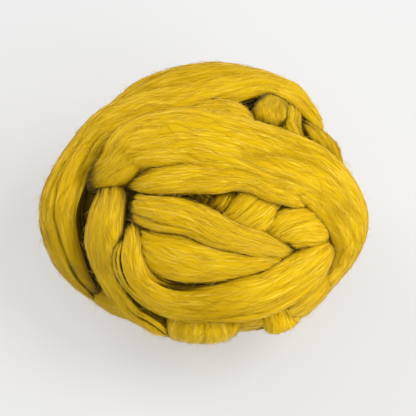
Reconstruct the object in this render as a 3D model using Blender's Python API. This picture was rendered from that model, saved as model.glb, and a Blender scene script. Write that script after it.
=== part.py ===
"""A ball of combed wool roving: one long, soft, untwisted strand wound round itself.

The strand lies in broad laps. Each lap is a closed sweep of the strand's crowned section round the ball, sunk a
little deeper where it runs under its neighbours, and all the laps are joined into one solid.
Metres, +Z up. The origin is on the surface that the ball rests on, under the middle of the ball.
"""

import math
from collections import namedtuple

import bmesh
import bpy
import numpy as np

MM = 0.001

# The ball, measured to the crowns of its outermost laps.
BALL_HALF = np.array((75.0, 67.5, 52.5)) * MM  # half its width, depth and height before it settles
CENTRE_HEIGHT = 47.0 * MM  # of the ball's middle over the surface; less than its half height, so its foot is flat
CORE_SINK = 14.0 * MM  # how far the plain core lies below the crowns of the outermost laps
CORE_SEGMENTS, CORE_RINGS = 28, 16
BALL_MIDDLE = np.array((0.1, 0.4, 0.0)) * MM + (0.0, 0.0, CENTRE_HEIGHT)  # with its laps, centred over the origin

# The strand's section.
CROWN_POWER = 2.5  # 2 is an ellipse, more is flatter on top and rounder at the edges
THICK_SHARE = 0.34  # thickness of a lap as a share of its width
THICK_MOST = 10.0 * MM
FOOT_SINK = 24.0 * MM  # how far a lap's hidden foot lies below the ball's outer form, inside the core
FOOT_CLEAR = 4.0 * MM  # and at least this far under its own edges
KEEL_DRAFT = 1.0 * MM  # how much further than its edges a lap reaches at its foot, on each side
TOP_POINTS = 9
FURROW_HALF = 0.11  # half a furrow's width, as a share of half the lap's width
FURROW_CLEAR = 0.16  # and how far from its middle the crown's other points keep
STATION = 9.0 * MM  # spacing of the sections along a lap
FINE_STEPS = 40  # points of the smooth curve from each row of a lap to the next
CREASE = math.radians(50)  # edges sharper than this are shaded as creases

# The lap tables are laid out on the ball as seen from its front, looking down at this angle.
VIEW_TILT = math.radians(60)
SEEN_RIGHT = np.array((1.0, 0.0, 0.0))
SEEN_UP = np.array((0.0, math.sin(VIEW_TILT), math.cos(VIEW_TILT)))
SEEN_NEAR = np.array((0.0, -math.cos(VIEW_TILT), math.sin(VIEW_TILT)))

# A row of a lap, in millimetres. side is "near" or "far", and right and up are its place as seen from the front.
# On side "rim", right is the clock angle in degrees, anticlockwise from the right, and up is degrees past the rim.
# sink is how far the lap's crown lies below the ball's outer form, and width is the strand's width there.
Row = namedtuple("Row", "side right up sink width")

LAPS = {
    "crown_lap": [
        Row("near", -64, 2, 15, 24),
        Row("near", -50, 15, 7, 30),
        Row("near", -34, 23.5, 2, 38),
        Row("near", -12, 27, 0, 44),
        Row("near", 12, 24.5, 0, 45),
        Row("near", 36, 17.5, 0, 44),
        Row("near", 55.5, 8, -0.5, 41),
        Row("rim", -12, -17, -1.5, 41),
        Row("rim", -27, -10, -0.5, 36),
        Row("rim", -40, -2, 1, 31),
        Row("far", 36, -44, 2, 32),
        Row("far", 2, -28, 0, 36),
        Row("far", -38, -14, 0, 36),
        Row("far", -64, -2, 4, 30),
    ],
    "inner_ring_lap": [
        Row("rim", 180, -12, 0.5, 40),
        Row("rim", 165, -14, 3, 39),
        Row("rim", 150, -16, 6, 37),
        Row("rim", 134, -20, 5, 32),
        Row("rim", 116, -27, 4, 27),
        Row("rim", 96, -31, 3, 24),
        Row("rim", 78, -21, 1, 25),
        Row("rim", 66, -8, -2, 28),
        Row("rim", 55, -1, -4, 31),
        Row("rim", 46, -1, 0, 28),
        Row("rim", 36, 10, 6, 26),
        Row("rim", 20, 20, 9, 26),
        Row("rim", -16, 20, 10, 26),
        Row("rim", -55, 14, 10, 28),
        Row("rim", -85, 16, 8, 28),
        Row("rim", -115, 12, 6, 26),
        Row("rim", -140, 0, 2, 24),
        Row("rim", -160, -7, 0, 35),
    ],
    "outer_ring_lap": [
        Row("rim", 180, 14, 0, 38),
        Row("rim", 163, 8, 7, 36),
        Row("rim", 148, 2, 9, 36),
        Row("rim", 132, -3, 7, 38),
        Row("rim", 114, -10, 2, 42),
        Row("rim", 92, -8, -1, 43),
        Row("rim", 76, -1, -2, 40),
        Row("rim", 62, 8, -3, 34),
        Row("rim", 50, 16, 0, 30),
        Row("rim", 36, 20, 8, 28),
        Row("rim", 0, 14, 8, 34),
        Row("rim", -32, -2, 3, 28),
        Row("rim", -50, -5, 0, 23),
        Row("rim", -66, -6, 4, 19),
        Row("rim", -82, -5, 8, 18),
        Row("rim", -100, -4, 10, 18),
        Row("rim", -122, -2, 4, 20),
        Row("rim", -145, 8, 4, 30),
        Row("rim", -162, 14, 2, 36),
    ],
    "foot_lap": [
        Row("near", 2, -28, 16, 30),
        Row("near", 0, -46, 8, 34),
        Row("near", -1, -59, 1.5, 38),
        Row("far", -1, -54, 2, 36),
        Row("far", 0, -26, 2, 34),
        Row("far", 2, 10, 3, 34),
        Row("far", 4, 45, 4, 34),
        Row("near", 4, 58, 12, 30),
        Row("near", 2, 32, 17, 24),
        Row("near", 0, 0, 18, 24),
    ],
    "heel_lap": [
        Row("near", 28, -38, 14, 12),
        Row("near", 35, -48, 5, 15),
        Row("near", 38, -56, -0.5, 15),
        Row("rim", -59, 14, 0, 16),
        Row("far", 26, -24, 5, 26),
        Row("far", 8, 20, 5, 30),
        Row("rim", 100, 20, 8, 28),
        Row("near", -14, 44, 16, 18),
        Row("near", 4, 0, 20, 16),
    ],
    "side_lap": [
        Row("near", -42, 8, 9, 20),
        Row("near", -45, -5, 6, 23),
        Row("near", -46.5, -18, 4.5, 23),
        Row("near", -44.5, -29, 4, 21),
        Row("near", -38, -40.5, 3, 19),
        Row("near", -30, -50, 1.5, 17),
        Row("near", -21, -57, 1.5, 17),
        Row("rim", -102, 14, 4, 22),
        Row("far", -12, -30, 4, 30),
        Row("far", -32, 6, 4, 34),
        Row("far", -38, 30, 7, 30),
        Row("rim", 132, 10, 12, 24),
        Row("near", -34, 38, 16, 18),
        Row("near", -39, 22, 16, 18),
    ],
    "centre_lap": [
        Row("near", -56, -4, 18, 16),
        Row("near", -44, -2.5, 16, 16),
        Row("near", -32, -2, 9, 16),
        Row("near", -20, -3, 4, 18),
        Row("near", -6, -6, 3, 18),
        Row("near", 8, -12, 3, 17),
        Row("near", 22, -17, 3.5, 15),
        Row("near", 34, -21, 6, 13),
        Row("near", 46, -25, 13, 13),
        Row("rim", -25, -4, 14, 20),
        Row("far", 55, -14, 6, 30),
        Row("far", 20, 8, 2, 36),
        Row("far", -28, 14, 2, 36),
        Row("far", -62, 8, 8, 26),
    ],
    "smile_lap": [
        Row("near", -27, 4, 15, 14),
        Row("near", -30, -11, 6, 14),
        Row("near", -30, -22, 3, 18),
        Row("near", -26.5, -32, 2, 20),
        Row("near", -17, -41, 1, 21),
        Row("near", -3, -47, 0, 23),
        Row("near", 12, -47.5, -0.5, 25),
        Row("near", 27, -44.5, -0.5, 27),
        Row("near", 41, -37.5, 0, 28),
        Row("near", 52, -28.5, 1.5, 24),
        Row("near", 59, -17, 7, 19),
        Row("near", 66, -4, 14, 18),
        Row("far", 60, 20, 6, 30),
        Row("far", 28, 38, 3, 36),
        Row("far", -8, 44, 4, 34),
        Row("rim", 118, 6, 10, 24),
        Row("near", -28, 42, 16, 18),
        Row("near", -25, 22, 17, 16),
    ],
    "tucked_lap": [
        Row("near", -38, -8, 18, 14),
        Row("near", -25, -14, 9, 15),
        Row("near", -12, -22, 5, 21),
        Row("near", 3, -27.5, 4.5, 23),
        Row("near", 19, -28.5, 6, 20),
        Row("near", 33, -27.5, 9, 15),
        Row("near", 46, -34, 16, 18),
        Row("far", 48, -32, 5, 30),
        Row("far", 36, 6, 2, 36),
        Row("far", 16, 30, 7, 32),
        Row("far", -24, 38, 9, 32),
        Row("rim", 152, 14, 12, 26),
        Row("near", -58, 12, 17, 18),
    ],
    "fan_lap": [
        Row("near", 18, -24, 16, 11),
        Row("near", 29, -14, 9, 14),
        Row("near", 41, -9, 5, 18),
        Row("near", 52.5, -7, 4.5, 21),
        Row("near", 60, -1, 13, 20),
        Row("far", 66, 12, 5, 34),
        Row("far", 40, 30, 4, 32),
        Row("far", 0, 30, 4, 34),
        Row("far", -44, 8, 4, 34),
        Row("far", -60, -24, 4, 30),
        Row("rim", -130, 10, 10, 22),
        Row("near", -28, -40, 17, 14),
        Row("near", -4, -34, 18, 12),
    ],
    "window_lap": [
        Row("near", -16, -34, 18, 14),
        Row("near", 0, -18, 16, 16),
        Row("near", 13.5, -5.5, 9.5, 20),
        Row("near", 23, 3, 9, 21),
        Row("near", 34, 16, 15, 18),
        Row("near", 46, 30, 15, 16),
        Row("rim", 40, 8, 14, 24),
        Row("far", 38, 14, 4, 34),
        Row("far", 14, -12, 4, 36),
        Row("far", -18, -40, 4, 34),
        Row("rim", -112, 4, 12, 24),
    ],
    "gap_lap": [
        Row("near", -12, -16, 18, 9),
        Row("near", 3, -1, 13.5, 9),
        Row("near", 13, 12, 17, 11),
        Row("near", 25, 34, 15, 14),
        Row("near", 30, 48, 14, 14),
        Row("rim", 56, 14, 9, 24),
        Row("far", 12, 22, 4, 34),
        Row("far", -14, -6, 4, 34),
        Row("far", -36, -36, 4, 32),
        Row("rim", -128, 6, 12, 20),
        Row("near", -32, -38, 18, 12),
    ],
    "pocket_lap": [
        Row("near", -24, 38, 13, 13),
        Row("near", -4, 43.5, 6, 13),
        Row("near", 9, 44, 4, 15),
        Row("near", 18.5, 41, 5, 14),
        Row("near", 29, 32, 14, 12),
        Row("near", 54, 12, 16, 16),
        Row("far", 62, -10, 5, 30),
        Row("far", 34, -28, 4, 34),
        Row("far", -16, -20, 3, 34),
        Row("far", -56, 14, 5, 30),
        Row("rim", 150, -10, 14, 20),
    ],
    "lobe_lap": [
        Row("near", 28, 58, 13, 16),
        Row("near", 31.5, 49, 4.5, 17),
        Row("near", 32.5, 39, 4, 18),
        Row("near", 35, 28, 11, 16),
        Row("near", 40, 8, 16, 16),
        Row("near", 42, -18, 16, 16),
        Row("near", 40, -44, 14, 16),
        Row("rim", -58, 14, 8, 26),
        Row("far", 26, -34, 4, 34),
        Row("far", 18, -4, 4, 34),
        Row("far", 20, 32, 4, 32),
        Row("rim", 68, 18, 9, 24),
    ],
    "slim_lobe_lap": [
        Row("near", 37, 56, 14, 10),
        Row("near", 41.5, 45, 5.5, 11),
        Row("near", 43.5, 35, 5, 12),
        Row("near", 46, 26, 9, 11),
        Row("near", 50, 8, 16, 12),
        Row("near", 48, -22, 16, 14),
        Row("rim", -50, 12, 10, 24),
        Row("far", 12, -44, 5, 32),
        Row("far", -22, -12, 4, 34),
        Row("far", -20, 26, 4, 32),
        Row("rim", 84, 20, 9, 26),
    ],
    "shoulder_lap": [
        Row("near", 41, 43, 15, 13),
        Row("near", 51, 34, 8, 14),
        Row("near", 57.5, 27, 5, 16),
        Row("near", 62.5, 17, 6, 17),
        Row("near", 68, 4, 11, 20),
        Row("rim", -18, 12, 7, 28),
        Row("far", 34, -50, 4, 32),
        Row("far", -6, -50, 4, 32),
        Row("far", -46, -34, 4, 30),
        Row("rim", 190, 18, 8, 28),
        Row("far", -50, 34, 6, 30),
        Row("far", -10, 54, 8, 26),
        Row("rim", 62, 10, 13, 18),
    ],
    "under_lap": [
        Row("near", -48, 6, 17, 10),
        Row("near", -33, 11, 10, 9),
        Row("near", -20, 11, 4.5, 9),
        Row("near", -9, 8, 4, 9),
        Row("near", 0, 1, 7, 9),
        Row("near", 8, -8, 14, 9),
        Row("near", 30, -36, 18, 12),
        Row("rim", -45, 14, 10, 22),
        Row("far", 20, -20, 5, 30),
        Row("far", -18, 2, 4, 32),
        Row("far", -52, 2, 6, 30),
    ],
    "crevice_lap": [
        Row("near", -44, 16, 14, 18),
        Row("near", -52, 2, 11, 20),
        Row("near", -54.5, -14, 9, 22),
        Row("near", -50, -29, 7, 22),
        Row("near", -38, -43, 7, 20),
        Row("near", -22, -50, 7, 18),
        Row("near", -4, -50, 9, 18),
        Row("rim", -70, 8, 9, 22),
        Row("far", 44, -30, 6, 30),
        Row("far", 50, 10, 6, 30),
        Row("far", 22, 46, 7, 28),
        Row("rim", 100, 4, 10, 24),
        Row("near", -22, 46, 12, 20),
        Row("near", -36, 32, 13, 18),
    ],
}

# A furrow runs the whole length of a lap where its fibres part: how far across it lies, from -1 at one edge of the
# lap to 1 at the other, and how deep it is in millimetres.
Furrow = namedtuple("Furrow", "across depth")

FURROWS = {
    "crown_lap": [Furrow(-0.45, 1.6), Furrow(0.38, 1.4)],
    "inner_ring_lap": [Furrow(-0.30, 2.0), Furrow(0.42, 1.6)],
    "outer_ring_lap": [Furrow(0.10, 1.8)],
    "side_lap": [Furrow(0.05, 3.0)],
    "smile_lap": [Furrow(-0.35, 1.8), Furrow(0.35, 1.8)],
    "centre_lap": [Furrow(0.30, 1.4)],
}

WOOL_COLOUR = (0.70, 0.45, 0.02, 1.0)
WOOL_ROUGHNESS = 0.85


def on_ball(row):
    """The point of the ball's outer form, in metres from its middle, over where the row's crown is seen to lie."""
    half = BALL_HALF - row.sink * MM
    side, right, up = row.side, row.right, row.up
    if side == "rim":
        clock, tilt = math.radians(row.right), math.radians(90 + row.up)
        right = half[0] / MM * math.sin(tilt) * math.cos(clock)
        up = math.hypot(half[1] * SEEN_UP[1], half[2] * SEEN_UP[2]) / MM * math.sin(tilt) * math.sin(clock)
        side = "near" if tilt < math.pi / 2 else "far"
    level = (SEEN_RIGHT * right + SEEN_UP * up) * MM / half
    toward = SEEN_NEAR / half
    a, b, c = toward @ toward, 2 * toward @ level, level @ level - 1
    root = math.sqrt(max(b * b - 4 * a * c, 0.0))
    depth = (-b + (root if side == "near" else -root)) / (2 * a)
    return onto_ball((level + toward * depth) * half)


def through(points, steps):
    """A smooth closed curve through the points, as rows of numbers, with this many steps from each to the next."""
    before, after = np.roll(points, 1, axis=0), np.roll(points, -1, axis=0)
    beyond = np.roll(points, -2, axis=0)
    made = []
    for t in np.arange(steps) / steps:
        made.append(
            0.5
            * (
                2 * points
                + (after - before) * t
                + (2 * before - 5 * points + 4 * after - beyond) * t**2
                + (3 * points - before - 3 * after + beyond) * t**3
            )
        )
    return np.stack(made, axis=1).reshape(-1, points.shape[1])


def onto_ball(points):
    """The points moved straight from the ball's middle onto its outer form."""
    return points / np.linalg.norm(points / BALL_HALF, axis=-1, keepdims=True)


def normals(points):
    """The outward directions of the ball's outer form at the points."""
    found = points / BALL_HALF**2
    return found / np.linalg.norm(found, axis=-1, keepdims=True)


def stations(rows):
    """Where a lap's sections stand: the line along the ball, its sideways direction, sink and width at each."""
    knots = np.array([[*on_ball(row), row.sink * MM, row.width * MM] for row in rows])
    fine = through(knots, FINE_STEPS)
    fine[:, :3] = onto_ball(fine[:, :3])
    step = np.linalg.norm(np.roll(fine[:, :3], -1, axis=0) - fine[:, :3], axis=1)
    travelled = np.concatenate([[0.0], np.cumsum(step)])
    count = round(travelled[-1] / STATION)
    wanted = np.arange(count) * travelled[-1] / count
    closed = np.vstack([fine, fine[:1]])
    even = np.stack([np.interp(wanted, travelled, column) for column in closed.T], axis=1)
    line = onto_ball(even[:, :3])
    forward = np.roll(line, -1, axis=0) - np.roll(line, 1, axis=0)
    sideways = np.cross(normals(line), forward)
    sideways /= np.linalg.norm(sideways, axis=1, keepdims=True)
    return line, sideways, even[:, 3], even[:, 4]


def top_places(furrows):
    """How far across the crown its points lie, from -1 to 1: spread along its arc, and closer at each furrow."""
    arc = np.linspace(math.pi, 0, TOP_POINTS)
    spread = np.sign(np.cos(arc)) * np.abs(np.cos(arc)) ** (2 / CROWN_POWER)
    clear = [x for x in spread if all(abs(x - furrow.across) > FURROW_CLEAR for furrow in furrows)]
    added = [furrow.across + side * FURROW_HALF for furrow in furrows for side in (-1, 0, 1)]
    return np.array(sorted(clear + added))


def section(width, sink, furrows):
    """The strand's section where it is this wide: rows of (sideways, height over the ball's outer form)."""
    thick = min(THICK_SHARE * width, THICK_MOST)
    places = top_places(furrows)
    crown = ((1 - np.abs(places) ** CROWN_POWER) ** (1 / CROWN_POWER) - 1) * thick - sink
    for furrow in furrows:
        crown[np.abs(places - furrow.across) < FURROW_HALF / 2] -= furrow.depth * MM
    foot = max(FOOT_SINK, sink + thick + FOOT_CLEAR)
    keel = width / 2 + KEEL_DRAFT
    return np.vstack([np.stack([places * width / 2, crown], axis=1), (keel, -foot), (-keel, -foot)])


def lap_mesh(name, rows, furrows):
    """A closed ring of the strand's sections, whose sides run straight towards the ball's middle."""
    line, sideways, sinks, widths = stations(rows)
    loops = []
    for centre, side, sink, width in zip(line, sideways, sinks, widths):
        shape = section(width, sink, furrows)
        spread = onto_ball(centre + np.outer(shape[:, 0], side))
        outward = spread / np.linalg.norm(spread, axis=1, keepdims=True)
        loops.append(spread + outward * shape[:, 1:])
    mesh = bmesh.new()
    rings = [[mesh.verts.new(point + BALL_MIDDLE) for point in loop] for loop in loops]
    for ring, following in zip(rings, rings[1:] + rings[:1]):
        for i in range(len(ring)):
            j = (i + 1) % len(ring)
            mesh.faces.new((ring[i], ring[j], following[j], following[i]))
    bmesh.ops.recalc_face_normals(mesh, faces=mesh.faces)
    return as_object(name, mesh)


def as_object(name, mesh):
    """Gives the mesh to a new object, shaded smooth between its creases."""
    data = bpy.data.meshes.new(name)
    mesh.to_mesh(data)
    mesh.free()
    data.shade_smooth()
    data.set_sharp_from_angle(angle=CREASE)
    made = bpy.data.objects.new(name, data)
    bpy.context.scene.collection.objects.link(made)
    return made


def core_mesh():
    """The plain middle of the ball, which the laps are joined to."""
    mesh = bmesh.new()
    bmesh.ops.create_uvsphere(mesh, u_segments=CORE_SEGMENTS, v_segments=CORE_RINGS, radius=1.0)
    bmesh.ops.scale(mesh, vec=BALL_HALF - CORE_SINK, verts=mesh.verts)
    bmesh.ops.translate(mesh, vec=BALL_MIDDLE, verts=mesh.verts)
    return as_object("wound_roving", mesh)


def table_cutter():
    """What lies under the resting surface, taken off the ball to leave its flat spot."""
    side = 4 * BALL_HALF[0]
    mesh = bmesh.new()
    bmesh.ops.create_cube(mesh, size=side)
    bmesh.ops.translate(mesh, vec=(0, 0, -side / 2), verts=mesh.verts)
    return as_object("surface_cutter", mesh)


def helper(made):
    """Keeps an object that a Boolean works with out of the model itself."""
    made.hide_render = True
    made.display_type = "WIRE"


def wool():
    material = bpy.data.materials.new("mustard_wool")
    material.use_nodes = True
    shader = material.node_tree.nodes["Principled BSDF"]
    shader.inputs["Base Color"].default_value = WOOL_COLOUR
    shader.inputs["Roughness"].default_value = WOOL_ROUGHNESS
    shader.inputs["Metallic"].default_value = 0.0
    return material


def main():
    for existing in list(bpy.data.objects):
        bpy.data.objects.remove(existing)
    ball = core_mesh()
    laps = bpy.data.collections.new("laps")
    bpy.context.scene.collection.children.link(laps)
    for name, rows in LAPS.items():
        lap = lap_mesh(name, rows, FURROWS.get(name, []))
        bpy.context.scene.collection.objects.unlink(lap)
        laps.objects.link(lap)
        helper(lap)
    join = ball.modifiers.new("join_laps", "BOOLEAN")
    join.operation = "UNION"
    join.solver = "EXACT"
    join.operand_type = "COLLECTION"
    join.collection = laps
    cutter = table_cutter()
    helper(cutter)
    cut = ball.modifiers.new("flat_spot", "BOOLEAN")
    cut.operation = "DIFFERENCE"
    cut.solver = "EXACT"
    cut.object = cutter
    ball.data.materials.append(wool())


main()
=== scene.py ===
# A loosely wound ball of mustard-yellow combed wool, on a pale floor under soft light.
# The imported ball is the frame. Here every lap of the strand gets its combed fibres, and stray fibres go on top.

import math
from collections import namedtuple

import bpy
import numpy as np
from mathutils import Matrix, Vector
from mathutils.bvhtree import BVHTree


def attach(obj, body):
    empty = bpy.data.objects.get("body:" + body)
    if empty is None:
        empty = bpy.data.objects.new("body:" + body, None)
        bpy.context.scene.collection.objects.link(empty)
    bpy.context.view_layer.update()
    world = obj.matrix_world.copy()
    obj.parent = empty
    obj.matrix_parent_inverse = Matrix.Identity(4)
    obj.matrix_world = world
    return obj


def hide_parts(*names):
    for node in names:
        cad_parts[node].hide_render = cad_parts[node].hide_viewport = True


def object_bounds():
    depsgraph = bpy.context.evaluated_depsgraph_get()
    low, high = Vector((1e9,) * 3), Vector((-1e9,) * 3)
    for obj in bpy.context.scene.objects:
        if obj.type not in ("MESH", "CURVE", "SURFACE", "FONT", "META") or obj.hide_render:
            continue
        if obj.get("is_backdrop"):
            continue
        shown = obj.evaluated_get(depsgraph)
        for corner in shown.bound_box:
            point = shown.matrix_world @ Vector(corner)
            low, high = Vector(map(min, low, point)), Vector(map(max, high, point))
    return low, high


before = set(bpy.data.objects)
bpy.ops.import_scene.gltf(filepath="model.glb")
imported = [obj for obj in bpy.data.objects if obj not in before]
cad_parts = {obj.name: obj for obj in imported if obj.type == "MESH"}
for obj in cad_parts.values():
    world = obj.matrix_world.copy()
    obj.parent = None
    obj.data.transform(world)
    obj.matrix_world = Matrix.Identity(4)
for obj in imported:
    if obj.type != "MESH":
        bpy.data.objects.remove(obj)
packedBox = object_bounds()
print("packed ball loaded")

mm = 0.001


class Wire:
    # a node's output that Python's operators work on, each adding its Math node
    def __init__(self, maker, socket):
        self.maker = maker
        self.socket = socket

    def __add__(self, other):
        return self.maker.sum("ADD", self, other)

    def __radd__(self, other):
        return self.maker.sum("ADD", other, self)

    def __sub__(self, other):
        return self.maker.sum("SUBTRACT", self, other)

    def __rsub__(self, other):
        return self.maker.sum("SUBTRACT", other, self)

    def __mul__(self, other):
        return self.maker.sum("MULTIPLY", self, other)

    def __rmul__(self, other):
        return self.maker.sum("MULTIPLY", other, self)

    def __truediv__(self, other):
        return self.maker.sum("DIVIDE", self, other)

    def __rtruediv__(self, other):
        return self.maker.sum("DIVIDE", other, self)

    def __pow__(self, other):
        return self.maker.sum("POWER", self, other)

    def __abs__(self):
        return self.maker.sum("ABSOLUTE", self)


class Maker:
    # adds nodes to one tree, for geometry or for shading
    def __init__(self, tree):
        self.tree = tree

    def add(self, kind, settings=None, inputs=None, output=0):
        # settings go first, because some of them change the node's sockets
        made = self.tree.nodes.new(kind)
        for name, value in (settings or {}).items():
            if name == "stops":
                self.setStops(made.color_ramp, value)
            else:
                setattr(made, name, value)
        for name, value in (inputs or {}).items():
            if isinstance(value, Wire):
                self.tree.links.new(value.socket, made.inputs[name])
            else:
                made.inputs[name].default_value = value
        return Wire(self, made.outputs[output])

    def setStops(self, ramp, stops):
        while len(ramp.elements) < len(stops):
            ramp.elements.new(0.5)
        for element, (place, colour) in zip(ramp.elements, stops):
            element.position = place
            element.color = (*colour, 1.0)

    def sum(self, operation, *values):
        return self.add("ShaderNodeMath", {"operation": operation}, dict(enumerate(values)))

    def ramp(self, value, low, high):
        # 0 at low, 1 at high, smooth between
        inputs = {"Value": value, "From Min": low, "From Max": high}
        return self.add("ShaderNodeMapRange", {"interpolation_type": "SMOOTHSTEP"}, inputs)

    def streaks(self, comb, along, across, seed, detail=0.0):
        # noise from 0 to 1 drawn out along the fibres. The comb vector goes round a circle as long as the lap
        scale = self.add("ShaderNodeCombineXYZ", None, {"X": 1 / along, "Y": 1 / along, "Z": 1 / across})
        place = self.add("ShaderNodeVectorMath", {"operation": "MULTIPLY"}, {0: comb, 1: scale})
        inputs = {"Vector": place, "W": seed, "Scale": 1.0, "Detail": detail}
        return self.add("ShaderNodeTexNoise", {"noise_dimensions": "4D"}, inputs)

    def bent(self, comb, along, across, most, seed):
        # the comb vector with its way across shifted a little, so that fibres wander
        shift = (self.streaks(comb, along, across, seed) - 0.5) * (2 * most)
        shift = self.add("ShaderNodeCombineXYZ", None, {"Z": shift})
        return self.add("ShaderNodeVectorMath", {"operation": "ADD"}, {0: comb, 1: shift})


# The ball's outer form. The laps are laid out on it as seen from the front, looking down.
ball = {
    "half": np.array((75.0, 67.5, 52.5)) * mm,  # to the crowns of the outermost laps, before it settles
    "middle": np.array((0.1, 0.4, 47.0)) * mm,
    "settle": 1.2 * mm,  # how softly the underside goes flat
    "seenFrom": math.radians(60),  # above the floor
}
seenRight = np.array((1.0, 0.0, 0.0))
seenUp = np.array((0.0, math.sin(ball["seenFrom"]), math.cos(ball["seenFrom"])))
seenNear = np.array((0.0, -math.cos(ball["seenFrom"]), math.sin(ball["seenFrom"])))


def ontoBall(points):
    return points / np.linalg.norm(points / ball["half"], axis=-1, keepdims=True)


def ballNormals(points):
    found = points / ball["half"] ** 2
    return found / np.linalg.norm(found, axis=-1, keepdims=True)


def through(points, steps):
    # a smooth closed curve through rows of numbers
    before, after, beyond = (np.roll(points, shift, axis=0) for shift in (1, -1, -2))
    made = [
        0.5 * (2 * points + (after - before) * t + (2 * before - 5 * points + 4 * after - beyond) * t**2
               + (3 * points - before - 3 * after + beyond) * t**3)
        for t in np.arange(steps) / steps
    ]
    return np.stack(made, axis=1).reshape(-1, points.shape[1])


def waver(length, count, shortest, longest, seed):
    # an even wander between about -1 and 1 that closes on itself after this length
    rng = np.random.default_rng(seed)
    turns = np.arange(max(1, round(length / longest)), round(length / shortest) + 1)
    phases = rng.uniform(0, 2 * math.pi, len(turns))
    sizes = rng.uniform(0.4, 1.0, len(turns))
    around = np.arange(count)[:, None] / count * 2 * math.pi
    wave = (sizes * np.sin(around * turns + phases)).sum(axis=1)
    return wave / np.abs(wave).max()


# One row of a lap, in millimetres: where its crown is seen, how far it lies below the ball's outer form, and how
# wide the strand is there. shade is painted shade there: how much darker the wool is painted, and below 0 how
# much lighter.
Row = namedtuple("Row", "side right up sink width shade")


def near(right, up, sink, width, shade=0.0):
    return Row("near", right, up, sink, width, shade)


def far(right, up, sink, width, shade=0.0):
    return Row("far", right, up, sink, width, shade)


def rim(clock, past, sink, width, shade=0.0):
    # close to the outline: degrees round from the right, and degrees past the outline
    return Row("rim", clock, past, sink, width, shade)


def rowPlace(row):
    # the point of the ball's outer form over where the row's crown is seen
    half = ball["half"] - row.sink * mm
    side, right, up = row.side, row.right, row.up
    if side == "rim":
        clock, tilt = math.radians(right), math.radians(90 + up)
        right = half[0] / mm * math.sin(tilt) * math.cos(clock)
        up = math.hypot(half[1] * seenUp[1], half[2] * seenUp[2]) / mm * math.sin(tilt) * math.sin(clock)
        side = "near" if tilt < math.pi / 2 else "far"
    level = (seenRight * right + seenUp * up) * mm / half
    toward = seenNear / half
    a, b, c = toward @ toward, 2 * toward @ level, level @ level - 1
    root = math.sqrt(max(b * b - 4 * a * c, 0.0))
    depth = (-b + (root if side == "near" else -root)) / (2 * a)
    return ontoBall((level + toward * depth) * half)


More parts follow.
